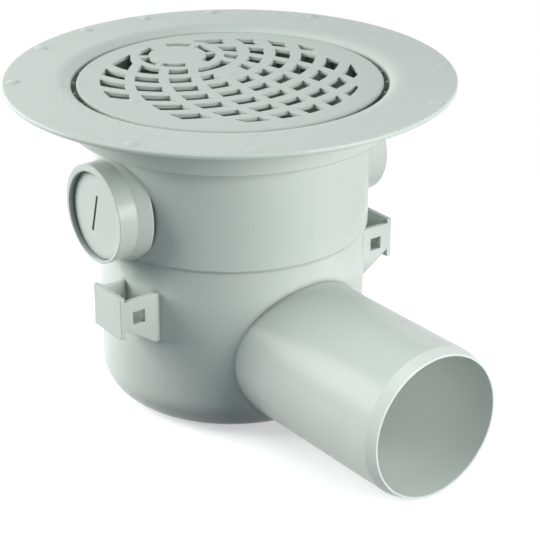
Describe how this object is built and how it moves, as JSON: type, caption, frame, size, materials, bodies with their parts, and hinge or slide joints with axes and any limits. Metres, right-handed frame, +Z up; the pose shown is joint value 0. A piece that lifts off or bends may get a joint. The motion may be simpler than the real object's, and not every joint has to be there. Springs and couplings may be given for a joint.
{
  "type": "floor drain",
  "caption": "Round floor drain with a wide mounting flange, curved-bar grate, lift-out water trap, plugged side inlets and a horizontal outlet pipe.",
  "frame": {"origin": "drain axis at the flat bottom of the body", "axes": "+Z up along the drain axis, +X along the outlet pipe away from the body"},
  "size_m": [0.2715, 0.223, 0.1669],
  "materials": {
    "body_plastic": "satin moulded polypropylene",
    "grate_plastic": "matt moulded polypropylene",
    "trap_plastic": "matt moulded polypropylene",
    "plug_plastic": "satin moulded polypropylene",
    "seal_rubber": "matt black"
  },
  "bodies": {
    "root": {"drain_body": "body_plastic", "grate": "grate_plastic", "trap_funnel": "trap_plastic", "trap_cup": "trap_plastic", "trap_seal": "seal_rubber", "inlet_plug_left": "plug_plastic", "inlet_plug_right": "plug_plastic", "plug_seal_left": "seal_rubber", "plug_seal_right": "seal_rubber"}
  },
  "joints": []
}
